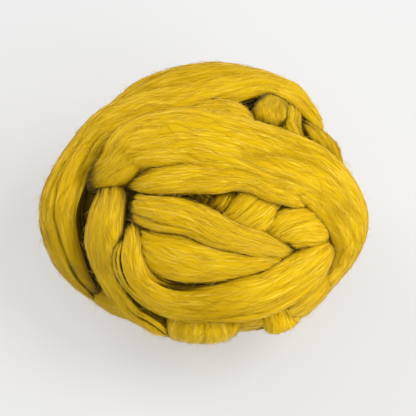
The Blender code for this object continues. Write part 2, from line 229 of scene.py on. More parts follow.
# The laps of the strand. Each is a closed ring of rows. A lap may change what usualLap gives, below.
laps = {
    "crownLap": {
        "rows": [
            near(-60, 2, 20, 13),
            near(-51.5, 10, 13, 16, 0.4),
            near(-43, 17, 5.5, 26, 0.1),
            near(-33, 27.5, 1.5, 31),
            near(-12, 31.8, 0, 38, 0.04),
            near(12, 29, 0, 38, 0.08),
            near(36.6, 20.7, 0, 37.5, 0.05),
            near(57.5, 11, -1, 36),
            rim(-12, -13.5, -1.5, 33),
            rim(-27, -5, -0.5, 26),
            rim(-38, -1, 0.5, 24),
            far(36, -44, 2, 32),
            far(2, -28, 0, 36),
            far(-38, -14, 0, 36),
            far(-64, -2, 4, 30),
        ],
        "crownPower": 3.0,
        "combing": {"Lock Depth": 0.3 * mm, "Swell Depth": 0.1 * mm, "Strand Depth": 0.03 * mm},
    },
    "innerRingLap": {
        "rows": [
            rim(180, -11.5, 0.5, 39, 0.14),
            rim(165, -13.5, 3, 38),
            rim(150, -14.5, 5, 38, -0.06),
            rim(134, -20.5, 4, 34),
            rim(116, -28, 3.5, 31),
            rim(96, -31.5, 3, 26),
            rim(78, -20, 1, 23),
            rim(66, -8, -1.5, 23),
            rim(56, -4, -3, 24),
            rim(46, 0, 1, 22),
            rim(37, 10, 5, 22),
            rim(20, 20, 9, 26),
            rim(-16, 20, 10, 26),
            rim(-55, 14, 10, 28),
            rim(-85, 16, 8, 28),
            rim(-115, 12, 6, 26),
            rim(-140, 0, 2, 24, 0.24),
            rim(-160, -8, 0, 36, 0.24),
        ],
        "combing": {"Locks Apart": 6.5 * mm, "Lock Depth": 1.3 * mm, "Strand Depth": 0.09 * mm},
    },
    "outerRingLap": {
        "rows": [
            rim(180, 14, 0, 38),
            rim(163, 8, 7, 36),
            rim(148, 2, 9, 36),
            rim(132, -3, 7, 38),
            rim(114, -10, 2, 42, 0.2),
            rim(92, -8, -1, 43, 0.24),
            rim(76, -1, -2, 40, 0.2),
            rim(62, 8, -3, 34),
            rim(50, 16, 0, 30),
            rim(36, 20, 8, 28),
            rim(0, 14, 8, 34),
            rim(-32, -2, 3, 28),
            rim(-50, -5, -0.5, 23),
            rim(-66, -6, 2.5, 20),
            rim(-82, -5, 6, 20),
            rim(-100, -4, 10, 18),
            rim(-122, -2, 4, 20),
            rim(-145, 8, 4, 30),
            rim(-162, 14, 2, 36),
        ],
    },
    "footLap": {
        "rows": [
            near(2, -28, 16, 30),
            near(0, -46, 8, 34),
            near(-0.5, -59.5, 0.5, 39),
            far(-1, -54, 2, 36),
            far(0, -26, 2, 34),
            far(2, 10, 3, 34),
            far(4, 45, 4, 34),
            near(4, 58, 12, 30),
            near(2, 32, 17, 24),
            near(0, 0, 18, 24),
        ],
        "combing": {"Swell Depth": 0.2 * mm, "Lock Depth": 0.3 * mm, "Strand Depth": 0.08 * mm},
        "crownPower": 3.5,
        "shade": 0.1,
    },
    "heelLap": {
        "rows": [
            near(28, -38, 14, 12),
            near(35, -48, 5, 15),
            near(38, -56.5, -2, 18),
            rim(-59, 14, 0, 16),
            far(26, -24, 5, 26),
            far(8, 20, 5, 30),
            rim(100, 20, 8, 28),
            near(-14, 44, 16, 18),
            near(4, 0, 20, 16),
        ],
        "shade": -0.08,
    },
    "sideLap": {
        "rows": [
            near(-42.5, 8, 9.5, 16),
            near(-45.2, -5, 6, 18.5),
            near(-46, -18, 4.5, 20.5),
            near(-44.3, -29.5, 4, 19.5, 0.06),
            near(-38.5, -41, 3, 15.5, 0.08),
            near(-31.5, -50.5, 1.5, 13.5, 0.12),
            near(-22, -56.5, 0.5, 13, 0.12),
            rim(-102, 14, 4, 22),
            far(-12, -30, 4, 30),
            far(-32, 6, 4, 34),
            far(-38, 30, 7, 30),
            rim(132, 10, 12, 24),
            near(-34, 38, 16, 18),
            near(-39, 22, 16, 18),
        ],
        "combing": {
            "Locks Apart": 5 * mm,
            "Lock Depth": 1.6 * mm,
            "Swell Depth": 0.6 * mm,
            "Strand Depth": 0.1 * mm,
        },
    },
    "centreLap": {
        "rows": [
            near(-56, -4, 18, 16),
            near(-35.5, -3, 24, 17),
            near(-32, -3, 17, 19),
            near(-29.3, -3, 8.5, 20.5),
            near(-25, -3.4, 4.5, 20),
            near(-19, -4.5, 3, 20),
            near(-6, -7, 3, 19),
            near(8, -13.5, 3, 16),
            near(22, -17.8, 3.5, 13.5),
            near(34, -21.3, 6, 10),
            near(46, -25, 13, 13),
            rim(-25, -4, 14, 20),
            far(55, -14, 6, 30),
            far(20, 8, 2, 36),
            far(-28, 14, 2, 36),
            far(-62, 8, 8, 26),
        ],
        "combing": {"Locks Apart": 7 * mm, "Lock Depth": 1.0 * mm, "Strand Depth": 0.06 * mm},
    },
    "smileLap": {
        "rows": [
            near(-31, -4, 20, 12),
            near(-33, -15, 7, 16),
            near(-34, -24.5, 3, 17.5),
            near(-30, -36, 1.5, 17),
            near(-19.5, -44, 0.5, 19, 0.12),
            near(-4.5, -47.7, 0, 22.8, 0.26),
            near(12, -47.5, -0.5, 25, 0.22),
            near(27, -44.5, -0.5, 27, 0.05),
            near(42, -38.5, 0, 27),
            near(53.5, -30, 1.5, 23),
            near(60.5, -19, 8, 18),
            near(66, -4, 14, 18),
            far(60, 20, 6, 30),
            far(28, 38, 3, 36),
            far(-8, 44, 4, 34),
            rim(118, 6, 10, 24),
            near(-28, 42, 16, 18),
            near(-25, 22, 17, 16),
        ],
        "combing": {
            "Locks Apart": 5.5 * mm,
            "Lock Depth": 1.4 * mm,
            "Swell Depth": 0.4 * mm,
            "Strand Depth": 0.07 * mm,
        },
    },
    "tuckedLap": {
        "rows": [
            near(-38, -8, 18, 14),
            near(-26, -19, 6.5, 24),
            near(-13, -24.5, 4.5, 31),
            near(3, -27.3, 4.5, 27),
            near(19, -27.5, 5, 22),
            near(33, -27, 6.5, 17),
            near(46, -34, 16, 18),
            far(48, -32, 5, 30),
            far(36, 6, 2, 36),
            far(16, 30, 7, 32),
            far(-24, 38, 9, 32),
            rim(152, 14, 12, 26),
            near(-58, 12, 17, 18),
        ],
        "combing": {"Lock Depth": 0.3 * mm, "Swell Depth": 0.1 * mm, "Strand Depth": 0.03 * mm},
    },
    "fanLap": {
        "rows": [
            near(22, -25, 16, 12),
            near(33, -14.5, 6.5, 24),
            near(44.5, -10, 3.5, 27, 0.1),
            near(55, -9, 6, 27),
            near(60, -1, 13, 20),
            far(66, 12, 5, 34),
            far(40, 30, 4, 32),
            far(0, 30, 4, 34),
            far(-44, 8, 4, 34),
            far(-60, -24, 4, 30),
            rim(-130, 10, 10, 22),
            near(-28, -40, 17, 14),
            near(-4, -34, 18, 12),
        ],
        "crownPower": 3.0,
        "combing": {"Lock Depth": 0.3 * mm, "Swell Depth": 0.15 * mm},
    },
    "windowLap": {
        "rows": [
            near(-16, -34, 18, 14),
            near(0, -18, 16, 16),
            near(18.7, -7.2, 6, 26.5, -0.12),
            near(28.8, 1.3, 6.5, 28.5, -0.12),
            near(37, 15, 13, 22),
            near(50, 26, 14, 18),
            rim(26, 3, 7, 30),
            far(38, 14, 4, 34),
            far(14, -12, 4, 36),
            far(-18, -40, 4, 34),
            rim(-112, 4, 12, 24),
        ],
        "crownPower": 3.2,
        "combing": {"Lock Depth": 0.6 * mm, "Swell Depth": 0.15 * mm},
        "shade": -0.05,
    },
    "nookLap": {
        "rows": [
            near(-22, -16, 16, 9),
            near(-5, -3, 9, 11),
            near(0.5, 6, 8.5, 11),
            near(5, 14, 14, 11),
            near(14, 34, 16, 14),
            near(20, 48, 15, 14),
            rim(66, 16, 10, 22),
            far(4, 22, 5, 32),
            far(-20, -6, 5, 32),
            far(-42, -30, 5, 30),
            rim(-140, 8, 13, 18),
            near(-40, -32, 18, 12),
        ],
    },
    "gapLap": {
        "rows": [
            near(-10, -16, 16, 9),
            near(4.8, -3, 8, 10),
            near(10.3, 4.8, 7.5, 10),
            near(15.5, 14, 13, 11),
            near(25, 34, 15, 14),
            near(30, 48, 14, 14),
            rim(56, 14, 9, 24),
            far(12, 22, 4, 34),
            far(-14, -6, 4, 34),
            far(-36, -36, 4, 32),
            rim(-128, 6, 12, 20),
            near(-32, -38, 18, 12),
        ],
        "shade": 0.06,
    },
    "pocketLap": {
        "rows": [
            near(-24, 38, 13, 13),
            near(-4, 43.5, 6, 13),
            near(9, 44, 4, 15),
            near(18.5, 41, 5, 14),
            near(29, 32, 14, 12),
            near(54, 12, 16, 16),
            far(62, -10, 5, 30),
            far(34, -28, 4, 34),
            far(-16, -20, 3, 34),
            far(-56, 14, 5, 30),
            rim(150, -10, 14, 20),
        ],
        "shade": -0.12,
    },
    "lobeLap": {
        "rows": [
            near(30, 60, 12, 16),
            near(32.5, 53, 5, 17),
            near(32.5, 40, 5, 18),
            near(35, 28, 11, 16),
            near(40, 8, 16, 16),
            near(42, -18, 16, 16),
            near(40, -44, 14, 16),
            rim(-58, 14, 8, 26),
            far(26, -34, 4, 34),
            far(18, -4, 4, 34),
            far(20, 32, 4, 32),
            rim(68, 18, 9, 24),
        ],
        "combing": {"Swell Depth": 0.3 * mm},
        "shade": 0.22,
    },
    "slimLobeLap": {
        "rows": [
            near(36, 57, 14, 10),
            near(39.5, 46.5, 6.5, 12),
            near(41.5, 36, 6, 13),
            near(46, 26, 9, 11),
            near(50, 8, 16, 12),
            near(48, -22, 16, 14),
            rim(-50, 12, 10, 24),
            far(12, -44, 5, 32),
            far(-22, -12, 4, 34),
            far(-20, 26, 4, 32),
            rim(84, 20, 9, 26),
        ],
        "shade": 0.10,
    },
    "shoulderLap": {
        "rows": [
            near(41, 43, 15, 13),
            near(51.5, 35.3, 5.5, 15),
            near(59, 27.3, 2, 17),
            near(63, 17, 4, 17),
            near(68, 4, 11, 20),
            rim(-18, 12, 7, 28),
            far(34, -50, 4, 32),
            far(-6, -50, 4, 32),
            far(-46, -34, 4, 30),
            rim(190, 18, 8, 28),
            far(-50, 34, 6, 30),
            far(-10, 54, 8, 26),
            rim(62, 10, 13, 18),
        ],
        "shade": 0.22,
    },
    "underLap": {
        "rows": [
            near(-48, 6, 17, 10),
            near(-34, 9.5, 12, 10),
            near(-24, 10, 5, 15),
            near(-10, 11, 2, 17),
            near(4, 11.4, 1.5, 14.5),
            near(18, 10.8, 1.5, 12.5),
            near(31, 7, 1.5, 13),
            near(43, 3, 2.5, 12),
            near(55, -6, 12, 12),
            rim(-30, -4, 13, 14),
            rim(-45, 14, 10, 22),
            far(20, -20, 5, 30),
            far(-18, 2, 4, 32),
            far(-52, 2, 6, 30),
        ],
        "combing": {"Lock Depth": 0.5 * mm, "Swell Depth": 0.2 * mm},
    },
    "creviceLap": {
        "rows": [
            near(-44, 16, 14, 18),
            near(-52, 2, 16, 18),
            near(-54, -14, 15, 18, 0.1),
            near(-50, -29, 13, 18, 0.25),
            near(-38, -43, 8, 20, 0.25),
            near(-22, -50, 12, 16, 0.2),
            near(-4, -50, 9, 18),
            rim(-70, 8, 9, 22),
            far(44, -30, 6, 30),
            far(50, 10, 6, 30),
            far(22, 46, 7, 28),
            rim(108, 13, 4.5, 32),
            near(-22, 46, 12, 20),
            near(-36, 32, 13, 18),
        ],
    },
}

usualLap = {
    "crownPower": 2.5,  # 2 is an ellipse, more is flatter on top
    "thickShare": 0.34,  # of the lap's width
    "thickMost": 10.0 * mm,
    "underShare": 0.22,  # how far it bulges below its widest
    "underMost": 7.0 * mm,
    "acrossStep": 0.42 * mm,  # spacing of the mesh across the fibres
    "underCoarser": 3.0,  # and how much coarser it is underneath
    "alongStep": 3.0 * mm,
    "edgeWander": 0.9 * mm,
    "edgeWaves": (22 * mm, 130 * mm),  # shortest and longest
    "heightWander": 0.6 * mm,
    "heightWaves": (30 * mm, 140 * mm),
    "shade": 0.0,  # painted shade over the whole lap, on top of what its place gives; below 0 it is painted lighter
    "combing": {
        "Run Length": 85.0 * mm,
        "Locks Apart": 9.0 * mm,
        "Lock Depth": 0.7 * mm,
        "Swell Depth": 0.2 * mm,
        "Strands Apart": 2.2 * mm,
        "Strand Depth": 0.035 * mm,
        "Fibres Apart": 1.0 * mm,
        "Fibre Depth": 0.06 * mm,
    },
}


def lapLine(lap):
    # evenly spaced places along the lap: on the outer form, its sideways direction, and sink, width and painted
    # shade
    knots = np.array([[*rowPlace(row), row.sink * mm, row.width * mm, row.shade] for row in lap["rows"]])
    fine = through(knots, 40)  # points from each row to the next
    fine[:, :3] = ontoBall(fine[:, :3])
    step = np.linalg.norm(np.roll(fine[:, :3], -1, axis=0) - fine[:, :3], axis=1)
    travelled = np.concatenate([[0.0], np.cumsum(step)])
    count = round(travelled[-1] / lap["alongStep"])
    wanted = np.arange(count) * travelled[-1] / count
    closed = np.vstack([fine, fine[:1]])
    even = np.stack([np.interp(wanted, travelled, column) for column in closed.T], axis=1)
    line = ontoBall(even[:, :3])
    forward = np.roll(line, -1, axis=0) - np.roll(line, 1, axis=0)
    sideways = np.cross(ballNormals(line), forward)
    sideways /= np.linalg.norm(sideways, axis=1, keepdims=True)
    return line, sideways, even[:, 3:6].T, travelled[-1]


def unitSection(lap, width, thick, under):
    # the section's points, from under its middle round over its crown: across, over its widest, below it
    angles = np.linspace(-math.pi / 2, 1.5 * math.pi, 721)
    power = 2 / lap["crownPower"]
    across = np.sign(np.cos(angles)) * np.abs(np.cos(angles)) ** power
    over = np.clip(np.sin(angles), 0, 1) ** power
    below = np.clip(-np.sin(angles), 0, 1)
    seen = np.stack([across * width / 2, over * thick - below * under], axis=1)
    length = np.linalg.norm(np.diff(seen, axis=0), axis=1)
    weight = np.where(np.sin(angles[:-1]) < -0.25, 1 / lap["underCoarser"], 1.0)  # past its widest
    spent = np.concatenate([[0.0], np.cumsum(length * weight)])
    travelled = np.concatenate([[0.0], np.cumsum(length)])
    count = round(spent[-1] / lap["acrossStep"])
    wanted = np.arange(count) * spent[-1] / count
    return [np.interp(wanted, spent, column) for column in (across, over, below, travelled)] + [travelled[-1]]


def lapSurface(lap):
    # the lap as a grid of points, along by round, with the comb vector of each
    line, sideways, (sinks, widths, shades), length = lapLine(lap)
    thick = np.minimum(lap["thickShare"] * widths, lap["thickMost"])
    under = np.minimum(lap["underShare"] * widths, lap["underMost"])
    across, over, below, around, girth = unitSection(lap, widths.mean(), thick.mean(), under.mean())
    stations = len(line)
    right = waver(length, stations, *lap["edgeWaves"], lap["seed"]) * lap["edgeWander"]
    left = waver(length, stations, *lap["edgeWaves"], lap["seed"] + 1) * lap["edgeWander"]
    rise = waver(length, stations, *lap["heightWaves"], lap["seed"] + 2) * lap["heightWander"]
    reach = np.where(across > 0, (widths / 2 + right)[:, None], (widths / 2 + left)[:, None]) * across
    height = (over - 1) * thick[:, None] - below * under[:, None] - (sinks - rise)[:, None]
    spread = ontoBall(line[:, None, :] + sideways[:, None, :] * reach[..., None])
    outward = spread / np.linalg.norm(spread, axis=-1, keepdims=True)
    points = spread + outward * height[..., None] + ball["middle"]
    turn = np.arange(stations) / stations * 2 * math.pi
    radius = length / (2 * math.pi)
    comb = np.empty(points.shape)
    comb[..., 0] = radius * np.cos(turn)[:, None]
    comb[..., 1] = radius * np.sin(turn)[:, None]
    comb[..., 2] = around
    crown = np.flatnonzero(over > 0)
    return points, comb, around / girth, (crown[0], crown[-1]), sinks, shades


def gridFaces(index):
    # four corners for each cell of a grid that closes on itself both ways
    ahead = np.roll(index, -1, axis=0)
    return np.stack([index, np.roll(index, -1, axis=1), np.roll(ahead, -1, axis=1), ahead], axis=-1)


def ringMesh(name, points, comb, roundShare, folds):
    # a closed ring of the grid, with its comb vectors and a bake map that folds its length into a few strips
    stations, girthCount = points.shape[:2]
    index = np.arange(stations * girthCount).reshape(stations, girthCount)
    mesh = bpy.data.meshes.new(name)
    mesh.from_pydata(points.reshape(-1, 3), [], gridFaces(index).reshape(-1, 4))
    mesh.attributes.new("comb", "FLOAT_VECTOR", "POINT").data.foreach_set("vector", comb.reshape(-1))
    share = np.append(roundShare, 1.0)
    cell = np.arange(stations) * folds / stations
    strip = np.floor(cell)
    u = np.stack([cell - strip, cell - strip + folds / stations], axis=1)
    v = np.stack([share[:-1], share[1:]], axis=1)
    corners = np.empty((stations, girthCount, 4, 2))
    for corner, (alongEnd, roundEnd) in enumerate(((0, 0), (0, 1), (1, 1), (1, 0))):
        corners[:, :, corner, 0] = np.clip(u[:, None, alongEnd], 0, 1)
        corners[:, :, corner, 1] = (strip[:, None] + 0.01 + 0.98 * v[None, :, roundEnd]) / folds
    mesh.uv_layers.new(name="OFBake").data.foreach_set("uv", corners.reshape(-1))
    mesh.shade_smooth()
    return mesh


def openTree(name, sizes):
    # a new tree with a way in for the shape and for each named size
    tree = bpy.data.node_groups.new(name, "GeometryNodeTree")
    tree.interface.new_socket("Geometry", in_out="INPUT", socket_type="NodeSocketGeometry")
    for size, value in sizes.items():
        kind = "NodeSocketInt" if isinstance(value, int) else "NodeSocketFloat"
        tree.interface.new_socket(size, in_out="INPUT", socket_type=kind).default_value = value
    tree.interface.new_socket("Geometry", in_out="OUTPUT", socket_type="NodeSocketGeometry")
    maker = Maker(tree)
    given = tree.nodes.new("NodeGroupInput")
    return maker, {socket.name: Wire(maker, socket) for socket in given.outputs if socket.name}


def closeTree(maker, shape, material):
    shape = maker.add("GeometryNodeRealizeInstances", None, {"Geometry": shape})
    shape = maker.add("GeometryNodeSetMaterial", None, {"Geometry": shape, "Material": material})
    maker.tree.links.new(shape.socket, maker.tree.nodes.new("NodeGroupOutput").inputs["Geometry"])
    return maker.tree


def applyTree(mesh, name, tree, sizes):
    # gives the mesh to a new piece, runs the tree on it once, and keeps the result as a plain mesh
    piece = bpy.data.objects.new(name, mesh)
    bpy.context.scene.collection.objects.link(piece)
    modifier = piece.modifiers.new(tree.name, "NODES")
    modifier.node_group = tree
    identifiers = {item.name: item.identifier for item in tree.interface.items_tree if item.in_out == "INPUT"}
    for size, value in sizes.items():
        modifier[identifiers[size]] = value
    evaluated = piece.evaluated_get(bpy.context.evaluated_depsgraph_get())
    made = bpy.data.meshes.new_from_object(evaluated)
    piece.modifiers.clear()
    piece.data = made
    return piece


# What shapes the locks, strands and fibres that are raised on a lap's surface, besides its own sizes.
relief = {
    "wander": (55 * mm, 22 * mm, 1.8 * mm),  # fibres bend by the last, over the first along and the second across
    "valley": 0.06,  # half a valley's width between locks, in noise from 0 to 1
    "valleyComes": (0.42, 0.60),  # noise at which a valley starts, and at which it is whole
    "valleyStays": 0.1,  # of its depth, everywhere
    # painted shade in the valleys between locks and in the lowest strands, as shares
    "valleyDark": 0.9,
    "strandDark": 0.2,
}


def combingTree(material):
    maker, size = openTree("combing", {**usualLap["combing"], "Seed": 0.0})
    run, apart, seed = size["Run Length"], size["Locks Apart"], size["Seed"]
    comb = maker.add("GeometryNodeInputNamedAttribute", {"data_type": "FLOAT_VECTOR"}, {"Name": "comb"})
    comb = maker.bent(comb, *relief["wander"], seed + 0.5)

    # locks part along thin valleys, which come and go
    locks = maker.streaks(comb, run, apart, seed + 1.5)
    valley = 1.0 - maker.ramp(abs(locks - 0.5), 0.0, relief["valley"])
    comes = maker.ramp(maker.streaks(comb, run * 0.7, apart * 1.6, seed + 2.5), *relief["valleyComes"])
    parting = valley * (comes * (1 - relief["valleyStays"]) + relief["valleyStays"])
    swell = (maker.streaks(comb, run * 0.8, apart * 1.4, seed + 3.5) - 0.5) * 2.0
    strands = (maker.streaks(comb, run * 0.4, size["Strands Apart"], seed + 4.5, 1.0) - 0.5) * 2.0
    fibres = (maker.streaks(comb, run * 0.3, size["Fibres Apart"], seed + 5.5, 1.0) - 0.5) * 2.0
    height = (swell * size["Swell Depth"] + strands * size["Strand Depth"] + fibres * size["Fibre Depth"]
              - parting * size["Lock Depth"])
    normal = maker.add("GeometryNodeInputNormal")
    move = maker.add("ShaderNodeVectorMath", {"operation": "SCALE"}, {"Vector": normal, "Scale": height})
    shape = maker.add("GeometryNodeSetPosition", None, {"Geometry": size["Geometry"], "Offset": move})
    # painted shade in the valleys and low strands, kept for the material to darken the colour
    groove = parting * relief["valleyDark"] + maker.ramp(strands, 0.0, -0.7) * relief["strandDark"]
    stored = {"Geometry": shape, "Name": "groove", "Value": groove}
    shape = maker.add("GeometryNodeStoreNamedAttribute", {"data_type": "FLOAT", "domain": "POINT"}, stored)
    return closeTree(maker, shape, material)


def pointArray(mesh, shape):
    found = np.empty(len(mesh.vertices) * 3, dtype=np.float32)
    mesh.vertices.foreach_get("co", found)
    return found.astype(float).reshape(shape)


def settled(points):
    # the underside goes softly flat on the floor
    soft = ball["settle"]
    low = points[..., 2]
    upright = 0.5 * (low + np.sqrt(low**2 + soft**2))
    points[..., 2] = upright * (1 - np.exp(-np.clip(low + 8 * soft, 0, None) / soft))
    return points


def surfaceOf(piece, points, crown):
    normals = np.empty(len(piece.data.vertices) * 3, dtype=np.float32)
    piece.data.vertex_normals.foreach_get("vector", normals)
    return {"grid": np.concatenate([points, normals.reshape(points.shape)], axis=-1), "crown": crown}


woolLook = {
    "deep": (0.045, 0.024, 0.001),  # painted shade where the laps close over it
    # painted shade in the grooves, and where other wool starts to shut a place in
    "groove": (0.31, 0.175, 0.001),
    "gold": (0.62, 0.38, 0.003),
    "bright": (0.70, 0.445, 0.007),
    "pale": (0.88, 0.66, 0.10),  # single fibres that catch the light
    "brightFrom": (0.36, 0.64),  # tone at which gold starts to turn bright, and at which it is
    "paleFrom": (0.90, 1.18),
    "paleMost": 0.5,
    "grooveMost": 0.6,
    "dimFrom": (0.06, 0.42),  # painted shade: how shut in wool is where it starts to go dim, and where it is
    "dimMost": 0.6,
    "deepFrom": (0.24, 0.55),
    "deepMost": 0.93,
    "broad": (60 * mm, 6 * mm, 11.1),  # a streak's length, its width and its seed
    "strands": (40 * mm, 1.8 * mm, 12.2),
    "fibres": (22 * mm, 0.6 * mm, 13.3),
    "finest": (11 * mm, 0.36 * mm, 14.4),
    "sway": (14 * mm, 5 * mm, 0.4 * mm, 7.7),  # fibres bend by the third, over the first along and second across
    "quiver": (5 * mm, 2 * mm, 0.15 * mm, 8.8),
    "roughness": 0.75,
    "strayRoughness": 0.5,
    "sheen": 1.0,
    "sheenRoughness": 0.25,
    "sheenTint": (1.0, 0.88, 0.3, 1.0),
    "specular": 0.03,
    "fibreBump": 0.09 * mm,
}


def newMaterial(name, roughness):
    material = bpy.data.materials.new(name)
    material.use_nodes = True
    shader = material.node_tree.nodes["Principled BSDF"]
    shader.inputs["Roughness"].default_value = roughness
    shader.inputs["Specular IOR Level"].default_value = woolLook["specular"]
    shader.inputs["Sheen Weight"].default_value = woolLook["sheen"]
    shader.inputs["Sheen Roughness"].default_value = woolLook["sheenRoughness"]
    shader.inputs["Sheen Tint"].default_value = woolLook["sheenTint"]
    return material, Maker(material.node_tree), shader


def mixed(maker, share, first, second):
    inputs = {0: share}
    for socket, colour in ((6, first), (7, second)):
        inputs[socket] = colour if isinstance(colour, Wire) else (*colour, 1.0)
    return maker.add("ShaderNodeMix", {"data_type": "RGBA"}, inputs, output=2)


def combedWool():
    # streaks of tone along the fibres, painted shade in grooves and nooks, with pale fibres that catch the light
    look = woolLook
    material, maker, shader = newMaterial("combedWool", look["roughness"])
    comb = maker.add("ShaderNodeAttribute", {"attribute_name": "comb"}, output="Vector")
    groove = maker.add("ShaderNodeAttribute", {"attribute_name": "groove"}, output="Fac")
    crowding = maker.add("ShaderNodeAttribute", {"attribute_name": "crowding"}, output="Fac")
    comb = maker.bent(maker.bent(comb, *look["sway"]), *look["quiver"])
    broad = maker.streaks(comb, *look["broad"], 1.0)
    strands = maker.streaks(comb, *look["strands"], 1.0)
    fibres = maker.streaks(comb, *look["fibres"], 1.0)
    finest = maker.streaks(comb, *look["finest"])
    tone = broad * 0.07 + strands * 0.07 + fibres * 0.43 + finest * 0.43
    colour = mixed(maker, maker.ramp(tone, *look["brightFrom"]), look["gold"], look["bright"])
    pale = maker.ramp(fibres * 0.7 + finest, *look["paleFrom"]) * look["paleMost"]
    colour = mixed(maker, pale, colour, look["pale"])
    # painted shade: darker in the grooves, then dim and deep where other wool shuts a place in
    colour = mixed(maker, groove * look["grooveMost"], colour, look["groove"])
    colour = mixed(maker, maker.ramp(crowding, *look["dimFrom"]) * look["dimMost"], colour, look["groove"])
    colour = mixed(maker, maker.ramp(crowding, *look["deepFrom"]) * look["deepMost"], colour, look["deep"])
    material.node_tree.links.new(colour.socket, shader.inputs["Base Color"])
    height = fibres * 0.6 + finest * 0.4
    bump = maker.add("ShaderNodeBump", None, {"Strength": 1.0, "Distance": look["fibreBump"], "Height": height})
    material.node_tree.links.new(bump.socket, shader.inputs["Normal"])
    return material


# Painted shade: short rays tell how far other wool shuts each place in, and how dark the wool is painted there.
crowd = {
    "rays": 14,
    "reach": 12.0 * mm,  # wool farther off than this shuts nothing in
    "lift": 0.6 * mm,  # clear of the fibres' own relief
    "every": 3,  # places round the lap
    "sunken": 0.02,  # painted shade, more for each millimetre a lap dips below the ball's outer form
    "sunkenFrom": 5,
    "sunkenMost": 12,
}

wool = combedWool()
combing = combingTree(wool)
surfaces = {}
pieces = []
for number, (name, lap) in enumerate(laps.items()):
    sizes = {**usualLap["combing"], **lap.get("combing", {}), "Seed": 10.0 * (number + 1)}
    lap = {**usualLap, "seed": 100 * (number + 1), **lap}
    points, comb, roundShare, crown, sinks, shades = lapSurface(lap)
    piece = applyTree(ringMesh(name, points, comb, roundShare, folds=2), name, combing, sizes)
    points = settled(pointArray(piece.data, points.shape))
    piece.data.vertices.foreach_set("co", points.reshape(-1).astype(np.float32))
    piece.data.update()
    surfaces[name] = surfaceOf(piece, points, crown)
    # painted shade of each station: the lap's and its row's, and more where the lap dips below the outer form
    sunken = crowd["sunken"] * np.clip(sinks / mm - crowd["sunkenFrom"], 0, crowd["sunkenMost"])
    surfaces[name]["shade"] = (lap["shade"] + shades + sunken)[:, None]
    pieces.append(piece)
print("laps made:", len(pieces), "with", sum(len(piece.data.polygons) * 2 for piece in pieces), "triangles")


def coverTree():
    # every lap in one search tree, to tell which places lie open
    verts, faces = [], []
    for surface in surfaces.values():
        places = surface["grid"][..., :3]
        index = len(verts) + np.arange(places.shape[0] * places.shape[1]).reshape(places.shape[:2])
        verts.extend(places.reshape(-1, 3).tolist())
        faces.extend(gridFaces(index).reshape(-1, 4).tolist())
    return BVHTree.FromPolygons(verts, faces)


def crowding(surface, cover):
    # for each place of a lap, how far other wool shuts it in, from short rays: 0 in the open, up to 1, for
    # painted shade
    places, normals = surface["grid"][..., :3], surface["grid"][..., 3:]
    stations, girthCount = places.shape[:2]
    turn = np.arange(crowd["rays"]) * math.pi * (3 - math.sqrt(5))
    level = 1 - (2 * np.arange(crowd["rays"]) + 1) / crowd["rays"]
    globe = np.stack([np.sqrt(1 - level**2) * np.cos(turn), np.sqrt(1 - level**2) * np.sin(turn), level], axis=-1)
    first, last = surface["crown"]
    columns = np.append(np.arange(first, last, crowd["every"]), last)
    found = np.ones((stations, girthCount))
    met = np.zeros((stations, len(columns)))
    for number, column in enumerate(columns):
        starts = (places[:, column] + normals[:, column] * crowd["lift"]).tolist()
        aims = (normals[:, column, None, :] + globe * 0.98).tolist()  # each of them outwards
        for station, (start, toward) in enumerate(zip(starts, aims)):
            hits = [cover.ray_cast(start, aim, crowd["reach"])[3] for aim in toward]
            shadeAmount = sum(1 - away / crowd["reach"] for away in hits if away is not None)
            met[station, number] = shadeAmount / crowd["rays"]
    met = (np.roll(met, 1, axis=0) + 2 * met + np.roll(met, -1, axis=0)) / 4
    within = np.arange(first, last + 1)
    for station in range(stations):
        found[station, first:last + 1] = np.interp(within, columns, met[station])
    return found


cover = coverTree()
# each lap keeps its painted shade as an attribute: from the rays, plus its lap's and rows' painted shade
for piece in pieces:
    surface = surfaces[piece.name]
    surface["crowding"] = crowding(surface, cover) + surface["shade"]
    values = surface["crowding"].reshape(-1).astype(np.float32)
    piece.data.attributes.new("crowding", "FLOAT", "POINT").data.foreach_set("value", values)
print("crowded places found")

# The plain middle is seen only deep between laps, and is painted in the deepest shade all over.
middle = {
    "sink": 14.0 * mm,  # below the crowns of the outermost laps
    "rings": 60,
    "around": 120,
    "seed": 3.0,
}


def middleMesh():
    # a globe of rings, combed round its upright axis
    rings, around = middle["rings"], middle["around"]
    tilt = (np.arange(1, rings) / rings * math.pi)[:, None]
    turn = (np.arange(around) / around * 2 * math.pi)[None, :]
    half = ball["half"] - middle["sink"]
    unit = np.stack([np.sin(tilt) * np.cos(turn), np.sin(tilt) * np.sin(turn), np.cos(tilt) + 0 * turn], axis=-1)
    points = np.vstack([(unit * half + ball["middle"]).reshape(-1, 3), ball["middle"] + (0, 0, half[2]),
                        ball["middle"] - (0, 0, half[2])])
    index = np.arange((rings - 1) * around).reshape(rings - 1, around)
    beside = np.roll(index, -1, axis=1)
    top, bottom = len(points) - 2, len(points) - 1
    faces = np.stack([index[:-1], index[1:], beside[1:], beside[:-1]], axis=-1).reshape(-1, 4).tolist()
    faces += [(top, a, b) for a, b in zip(index[0].tolist(), beside[0].tolist())]
    faces += [(bottom, b, a) for a, b in zip(index[-1].tolist(), beside[-1].tolist())]
    mesh = bpy.data.meshes.new("woolMiddle")
    mesh.from_pydata(points, [], faces)
    comb = points - ball["middle"]
    mesh.attributes.new("comb", "FLOAT_VECTOR", "POINT").data.foreach_set("vector", comb.reshape(-1))
    mesh.shade_smooth()
    return mesh


core = applyTree(middleMesh(), "woolMiddle", combing, {**usualLap["combing"], "Seed": middle["seed"]})
# painted shade: the middle counts as wholly shut in
shadeAmount = np.ones(len(core.data.vertices), dtype=np.float32)
core.data.attributes.new("crowding", "FLOAT", "POINT").data.foreach_set("value", shadeAmount)
pieces.append(core)
print("middle made")

